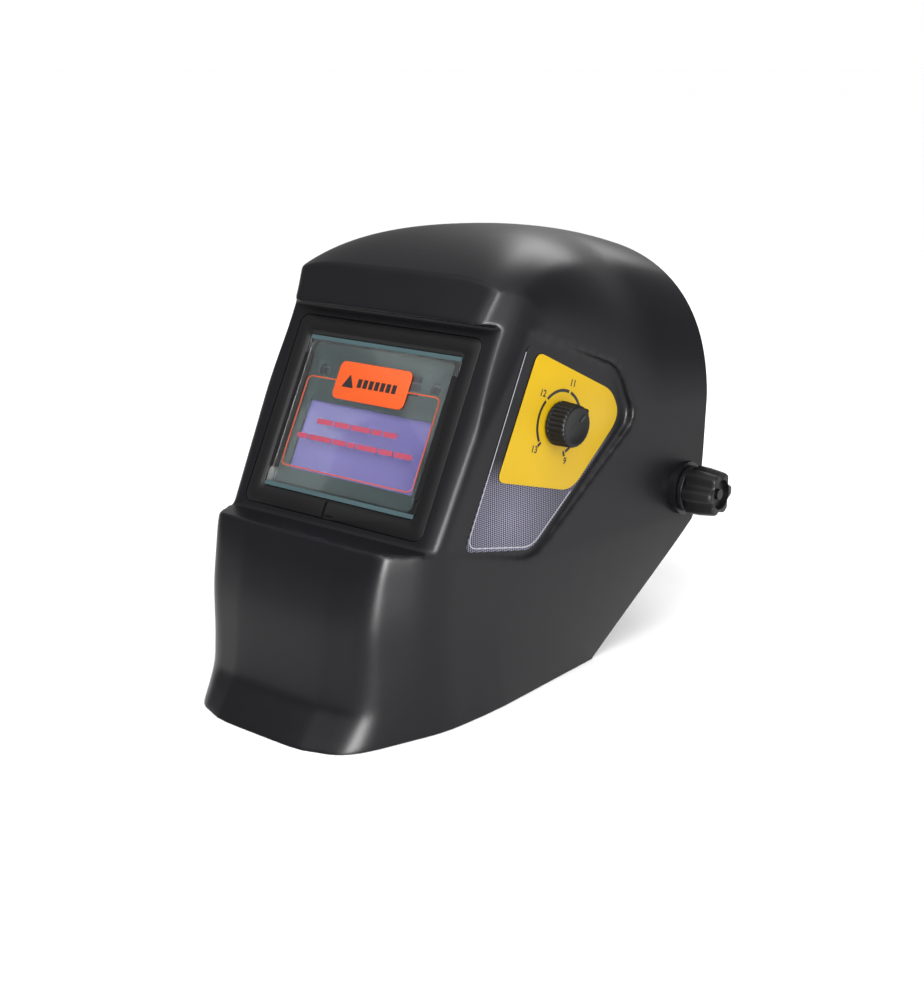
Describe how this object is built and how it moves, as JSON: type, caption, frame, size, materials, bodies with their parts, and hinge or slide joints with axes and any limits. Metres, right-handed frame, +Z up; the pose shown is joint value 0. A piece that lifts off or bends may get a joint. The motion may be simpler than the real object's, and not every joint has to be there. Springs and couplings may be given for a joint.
{
  "type": "welding helmet",
  "caption": "Auto-darkening welding helmet with a leaning filter window, a side shade dial, tilt pivots and adjustable headgear.",
  "frame": {"origin": "centre of the bounding box on the plane that the shell's flat lower edge rests on", "axes": "+Z up, the window faces -Y, +X is the wearer's left, the side with the shade dial"},
  "size_m": [0.2716, 0.3946, 0.264],
  "materials": {
    "shell_black": "satin",
    "trim_black": "satin",
    "case_black": "matte",
    "clear_lens": "gloss",
    "orange_tab": "gloss",
    "violet_filter": "gloss",
    "solar_blue": "gloss",
    "sensor_glass": "gloss",
    "board_green": "satin",
    "metal": "satin",
    "sticker_black": "satin",
    "label_yellow": "satin",
    "lead_black": "satin",
    "knob_black": "satin",
    "strap_black": "satin",
    "foam_black": "matte"
  },
  "bodies": {
    "shell": {"shell": "shell_black", "lens_bezel": "trim_black", "front_cover_lens": "clear_lens", "lens_film": "clear_lens", "film_pull_tab": "orange_tab", "cartridge_front_case": "case_black", "cartridge_rear_case": "case_black", "darkening_filter": "violet_filter", "solar_cell": "solar_blue", "arc_sensor_left": "sensor_glass", "arc_sensor_right": "sensor_glass", "circuit_board": "board_green", "battery_left": "metal", "battery_right": "metal", "inner_cover_lens": "clear_lens", "cartridge_retainer": "case_black", "retainer_screw_1": "metal", "retainer_screw_2": "metal", "retainer_screw_3": "metal", "retainer_screw_4": "metal", "side_panel_sticker": "sticker_black", "dial_label": "label_yellow", "dial_washer": "metal", "dial_nut": "metal", "shade_potentiometer": "metal", "shade_lead": "lead_black", "friction_washer_left": "trim_black", "friction_washer_right": "trim_black", "pivot_spacer_left": "strap_black", "pivot_spacer_right": "strap_black"},
    "headgear": {"head_band": "strap_black", "sweat_band": "foam_black", "crown_strap_left": "strap_black", "crown_strap_right": "strap_black", "crown_stud_left": "strap_black", "crown_stud_right": "strap_black", "pivot_arm_left": "strap_black", "pivot_arm_right": "strap_black", "arm_rivet_left": "metal", "arm_rivet_right": "metal", "crown_rivet_left": "metal", "crown_rivet_right": "metal", "pivot_bolt_left": "metal", "pivot_bolt_right": "metal", "tilt_stop_left": "strap_black", "tilt_stop_right": "strap_black"},
    "rear_unit": {"rear_strap_left": "strap_black", "rear_strap_right": "strap_black", "ratchet_housing": "strap_black", "ratchet_cover": "strap_black", "rear_pad": "foam_black"},
    "ratchet_knob": {"ratchet_knob": "knob_black", "ratchet_pinion": "strap_black"},
    "tension_knob_left": {"tension_knob_left": "knob_black"},
    "tension_knob_right": {"tension_knob_right": "knob_black"},
    "shade_knob": {"shade_knob": "knob_black", "potentiometer_shaft": "metal"},
    "sensitivity_knob": {"sensitivity_knob": "knob_black"},
    "delay_knob": {"delay_knob": "knob_black"}
  },
  "joints": [
    {"name": "headgear_tilt", "type": "hinge", "parent": "shell", "child": "headgear", "pos_m": [0, 0.0757, 0.102], "axis": [1, 0, 0], "range_deg": [-15, 75]},
    {"name": "tension_knob_left", "type": "hinge", "parent": "headgear", "child": "tension_knob_left", "pos_m": [0.125, 0.0757, 0.102], "axis": [1, 0, 0], "continuous": true},
    {"name": "tension_knob_right", "type": "hinge", "parent": "headgear", "child": "tension_knob_right", "pos_m": [-0.125, 0.0757, 0.102], "axis": [-1, 0, 0], "continuous": true},
    {"name": "ratchet_turn", "type": "hinge", "parent": "rear_unit", "child": "ratchet_knob", "pos_m": [0, 0.1837, 0.096], "axis": [0, -1, 0], "range_deg": [-115, 140]},
    {"name": "band_size", "type": "slide", "parent": "headgear", "child": "rear_unit", "axis": [0, -1, 0], "range_m": [-0.0085, 0.0105]},
    {"name": "shade_turn", "type": "hinge", "parent": "shell", "child": "shade_knob", "pos_m": [0.09727, -0.03759, 0.1624], "axis": [0.9956, -0.0941, 0], "range_deg": [-101, 180]},
    {"name": "sensitivity_turn", "type": "hinge", "parent": "shell", "child": "sensitivity_knob", "pos_m": [0.02, -0.07422, 0.17557], "axis": [0, -0.8838, 0.4679], "range_deg": [-135, 135]},
    {"name": "delay_turn", "type": "hinge", "parent": "shell", "child": "delay_knob", "pos_m": [-0.02, -0.07422, 0.17557], "axis": [0, -0.8838, 0.4679], "range_deg": [-135, 135]}
  ],
  "couplings": [
    {"joint": "band_size", "follows": "ratchet_turn", "m_per_rad": 0.0041}
  ]
}
